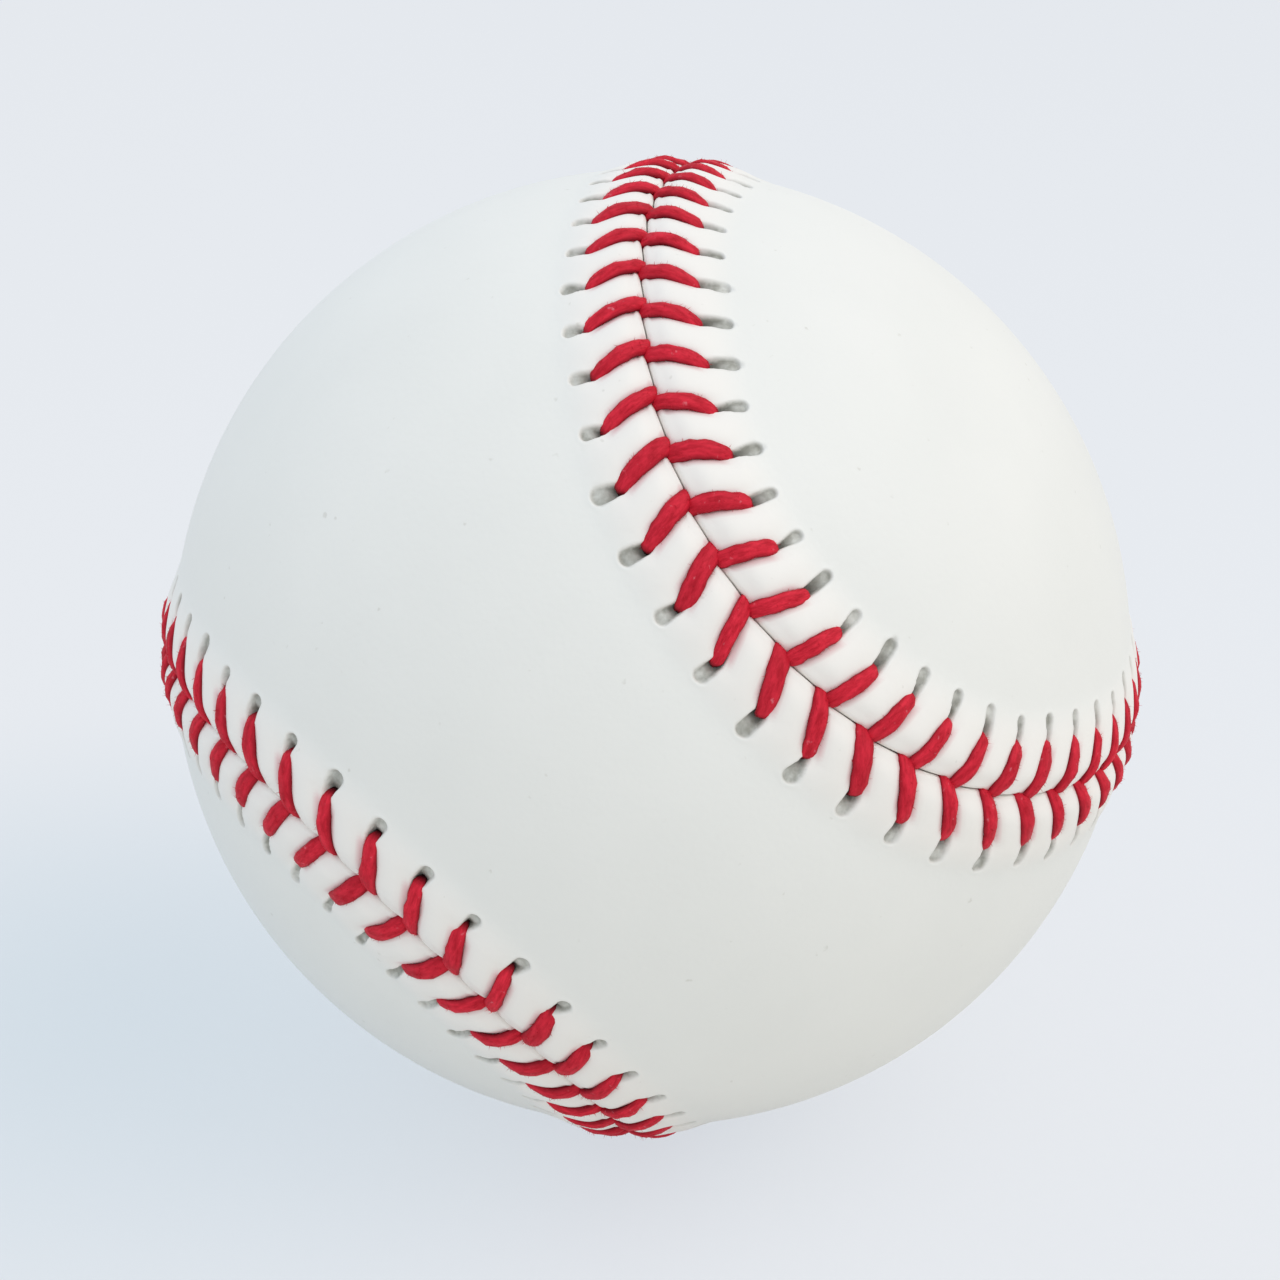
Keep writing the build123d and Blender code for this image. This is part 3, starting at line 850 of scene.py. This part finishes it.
def rubber(name, low, high):
    # Moulded vulcanised rubber: matt, with a faint bloom of talc and a fine mould texture
    material, tree, shader = newMaterial(name)
    spot = addNode(tree, "ShaderNodeTexCoord").outputs["Object"]
    bloom = addNode(tree, "ShaderNodeTexNoise",
                    {"Vector": spot, "Scale": grain(moulding["bloomSize"]), "Detail": 4.0})
    tone = addNode(tree, "ShaderNodeMix", {0: bloom.outputs["Fac"], 6: low, 7: high}, data_type="RGBA")
    tree.links.new(tone.outputs[2], shader.inputs["Base Color"])
    shader.inputs["Roughness"].default_value = moulding["roughness"]
    pits = addNode(tree, "ShaderNodeTexNoise", {"Vector": spot, "Scale": grain(moulding["pitSize"])})
    bump = addNode(tree, "ShaderNodeBump",
                   {"Height": pits.outputs["Fac"], "Strength": moulding["relief"],
                    "Distance": moulding["reliefHeight"] * mm})
    tree.links.new(bump.outputs[0], shader.inputs["Normal"])
    return material


def pressedCork():
    # Pressed cork: packed granules of several browns with darker lines of binder between them
    material, tree, shader = newMaterial("pressedCork")
    spot = addNode(tree, "ShaderNodeTexCoord").outputs["Object"]
    packed = {"Vector": spot, "Scale": grain(cork["granuleSize"])}
    granules = addNode(tree, "ShaderNodeTexVoronoi", packed)
    shade = addNode(tree, "ShaderNodeSeparateColor", {0: granules.outputs["Color"]})
    tone = addNode(tree, "ShaderNodeMix", {0: shade.outputs[0], 6: cork["dark"], 7: cork["light"]},
                   data_type="RGBA")
    edges = addNode(tree, "ShaderNodeTexVoronoi", packed, feature="DISTANCE_TO_EDGE")
    binderShare = addNode(tree, "ShaderNodeMapRange",
                          {0: edges.outputs["Distance"], 2: cork["binderWidth"],
                           3: cork["binderShare"], 4: 0.0})
    bound = addNode(tree, "ShaderNodeMix",
                    {0: binderShare.outputs[0], 6: tone.outputs[2], 7: cork["binder"]},
                    data_type="RGBA")
    tree.links.new(bound.outputs[2], shader.inputs["Base Color"])
    shader.inputs["Roughness"].default_value = cork["roughness"]
    bump = addNode(tree, "ShaderNodeBump",
                   {"Height": edges.outputs["Distance"], "Strength": cork["relief"],
                    "Distance": cork["reliefHeight"] * mm})
    tree.links.new(bump.outputs[0], shader.inputs["Normal"])
    return material


layers = {
    "cork_core": pressedCork(),
    "upper_rubber_cup": rubber("blackRubber", "#1B1B1C", "#2A2A2B"),
    "rubber_gasket": rubber("redRubber", "#8E2A22", "#A43A30"),
    "inner_wool_winding": yarn("greyWool", "#6F6F72", "#A2A2A4", 1.2),
    "white_wool_winding": yarn("whiteWool", "#CFCABB", "#EDE8DA", 1.0),
    "finish_winding": yarn("cottonYarn", "#D2CFC4", "#F2EFE6", 0.4),
}
layers["lower_rubber_cup"] = layers["upper_rubber_cup"]
layers["red_rubber_shell"] = layers["rubber_gasket"]
layers["outer_wool_winding"] = layers["inner_wool_winding"]
for node, finish in layers.items():
    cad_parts[node].data.materials.clear()
    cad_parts[node].data.materials.append(finish)
print("inner layers finished")

leather, redCotton = whiteLeather(), redThread()
lacingTree = makeLacingTree()
for name in sides:
    coverPiece = makeCover(name)
    coverPiece.data.materials.append(leather)
    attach(coverPiece, "root")
    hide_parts(name + "_cover")
    stitchPiece = makeStitching(name, lacingTree, redCotton)
    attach(stitchPiece, "root")
    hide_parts(name + "_stitches")
    print(name, "cover has", len(coverPiece.data.polygons), "faces")
    print(name, "stitching has", len(stitchPiece.data.polygons), "faces")

# The stage: a pale floor under the ball, a soft key light from the upper right and an even sky
stage = {
    "floorSize": 6.0,  # m
    "floor": "#E6E5E0",
    "toothSize": 2,  # mm, the paper's texture
    "toothRelief": 0.05,
    "toothHeight": 0.02,
    "roughness": 0.9,
    "specular": 0.1,
    "backdrop": "#E9EDF4",  # what the camera sees of the floor, apart from shadow
    "backdropShare": 0.78,
    "paintedShadow": "#D8E2EA",  # painted shadow: a darker, bluer tone on the floor, on the side away from the key
    "paintedShadowMiddle": (-0.048, 0.004, 0.0),
    "paintedShadowReach": 0.075,
    "skyLeft": "#E5F2FF",
    "skyRight": "#EEEEED",
    "skyNeutral": 0.4,  # how far to the right the sky loses its blue
    "skyStrength": 1.0,
    "keyWatts": 0.78,
    "keySize": 0.45,
    "keyDistance": 0.6,
    "keyRight": 0.6,  # parts of the way to the right, up and towards the camera
    "keyUp": 0.75,
    "keyBack": 0.58,
}
view = {
    "direction": (0.0371, -0.9337, 0.3562),  # from the ball to the camera
    "up": (-0.0607, 0.3537, 0.9334),
    "distance": 189.3,  # mm
    "lens": 67.06,  # mm on a 36 mm sensor
    "shift": (-0.0091, 0.0054),
}


def mattPaper():
    # Matt paper sweep: pale and even, with a soft shadow under the ball and a painted shadow on the side
    # away from the key
    material, tree, shader = newMaterial("mattPaper")
    spot = addNode(tree, "ShaderNodeTexCoord").outputs["Object"]
    tooth = addNode(tree, "ShaderNodeTexNoise", {"Vector": spot, "Scale": grain(stage["toothSize"])})
    bump = addNode(tree, "ShaderNodeBump",
                   {"Height": tooth.outputs["Fac"], "Strength": stage["toothRelief"],
                    "Distance": stage["toothHeight"] * mm})
    tree.links.new(bump.outputs[0], shader.inputs["Normal"])
    shader.inputs["Roughness"].default_value = stage["roughness"]
    shader.inputs["Specular IOR Level"].default_value = stage["specular"]
    away = addNode(tree, "ShaderNodeVectorMath", {0: spot, 1: stage["paintedShadowMiddle"]},
                   operation="DISTANCE")
    paintedShadow = addNode(tree, "ShaderNodeMapRange",
                   {0: away.outputs["Value"], 2: stage["paintedShadowReach"], 3: 1.0, 4: 0.0},
                   interpolation_type="SMOOTHSTEP")
    paper = addNode(tree, "ShaderNodeMix", {0: paintedShadow.outputs[0], 6: stage["floor"], 7: stage["paintedShadow"]},
                    data_type="RGBA")
    tree.links.new(paper.outputs[2], shader.inputs["Base Color"])

    # The camera, and what mirrors the floor, see mostly an even tone, with the painted shadow in it
    tone = addNode(tree, "ShaderNodeMix", {0: paintedShadow.outputs[0], 6: stage["backdrop"], 7: stage["paintedShadow"]},
                   data_type="RGBA")
    glow = addNode(tree, "ShaderNodeEmission", {"Color": tone.outputs[2], "Strength": 1.0})
    ray = addNode(tree, "ShaderNodeLightPath").outputs
    seen = addNode(tree, "ShaderNodeMath", {0: ray["Is Camera Ray"], 1: ray["Is Glossy Ray"]},
                   operation="ADD")
    seen = addNode(tree, "ShaderNodeMath", {0: seen.outputs[0], 1: ray["Is Transmission Ray"]},
                   operation="ADD")
    share = addNode(tree, "ShaderNodeMath", {0: seen.outputs[0], 1: stage["backdropShare"]},
                    operation="MULTIPLY")
    mixed = addNode(tree, "ShaderNodeMixShader",
                    {0: share.outputs[0], 1: shader.outputs[0], 2: glow.outputs[0]})
    tree.links.new(mixed.outputs[0], tree.nodes["Material Output"].inputs["Surface"])
    return material


def makeFloor(height):
    half = stage["floorSize"] / 2
    corners = [(-half, -half, 0), (half, -half, 0), (half, half, 0), (-half, half, 0)]
    mesh = bpy.data.meshes.new("floor")
    mesh.from_pydata(corners, [], [(0, 1, 2, 3)])
    mesh.materials.append(mattPaper())
    floor = bpy.data.objects.new("floor", mesh)
    floor.location.z = height
    bpy.context.scene.collection.objects.link(floor)


def makeCamera():
    back = Vector(view["direction"]).normalized()
    right = Vector(view["up"]).cross(back).normalized()
    up = back.cross(right)
    lens = bpy.data.cameras.new("camera")
    lens.lens = view["lens"]
    lens.shift_x, lens.shift_y = view["shift"]
    lens.clip_start = mm
    camera = bpy.data.objects.new("camera", lens)
    turn = Matrix((right, up, back)).transposed().to_4x4()
    camera.matrix_world = Matrix.Translation(back * view["distance"] * mm) @ turn
    bpy.context.scene.collection.objects.link(camera)
    bpy.context.scene.camera = camera
    return right, up, back


def makeLights(right, up, back):
    key = bpy.data.lights.new("key", "AREA")
    key.energy = stage["keyWatts"]
    key.size = stage["keySize"]
    lamp = bpy.data.objects.new("key", key)
    toKey = right * stage["keyRight"] + up * stage["keyUp"] + back * stage["keyBack"]
    toKey = toKey.normalized()
    turn = toKey.to_track_quat("Z", "Y").to_matrix().to_4x4()
    lamp.matrix_world = Matrix.Translation(toKey * stage["keyDistance"]) @ turn
    bpy.context.scene.collection.objects.link(lamp)
    world = bpy.data.worlds.new("sky")
    world.use_nodes = True
    tree = world.node_tree
    toSky = addNode(tree, "ShaderNodeTexCoord").outputs["Generated"]
    across = addNode(tree, "ShaderNodeSeparateXYZ", {0: toSky})
    share = addNode(tree, "ShaderNodeMapRange",
                    {0: across.outputs[0], 1: -1.0, 2: stage["skyNeutral"]})
    tone = addNode(tree, "ShaderNodeMix",
                   {0: share.outputs[0], 6: stage["skyLeft"], 7: stage["skyRight"]}, data_type="RGBA")
    tree.links.new(tone.outputs[2], tree.nodes["Background"].inputs["Color"])
    tree.nodes["Background"].inputs["Strength"].default_value = stage["skyStrength"]
    bpy.context.scene.world = world


bpy.context.scene.view_settings.view_transform = "Standard"
ballBox = [list(corner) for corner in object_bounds()]
makeFloor(ballBox[0][2])
makeLights(*makeCamera())
print("stage set")
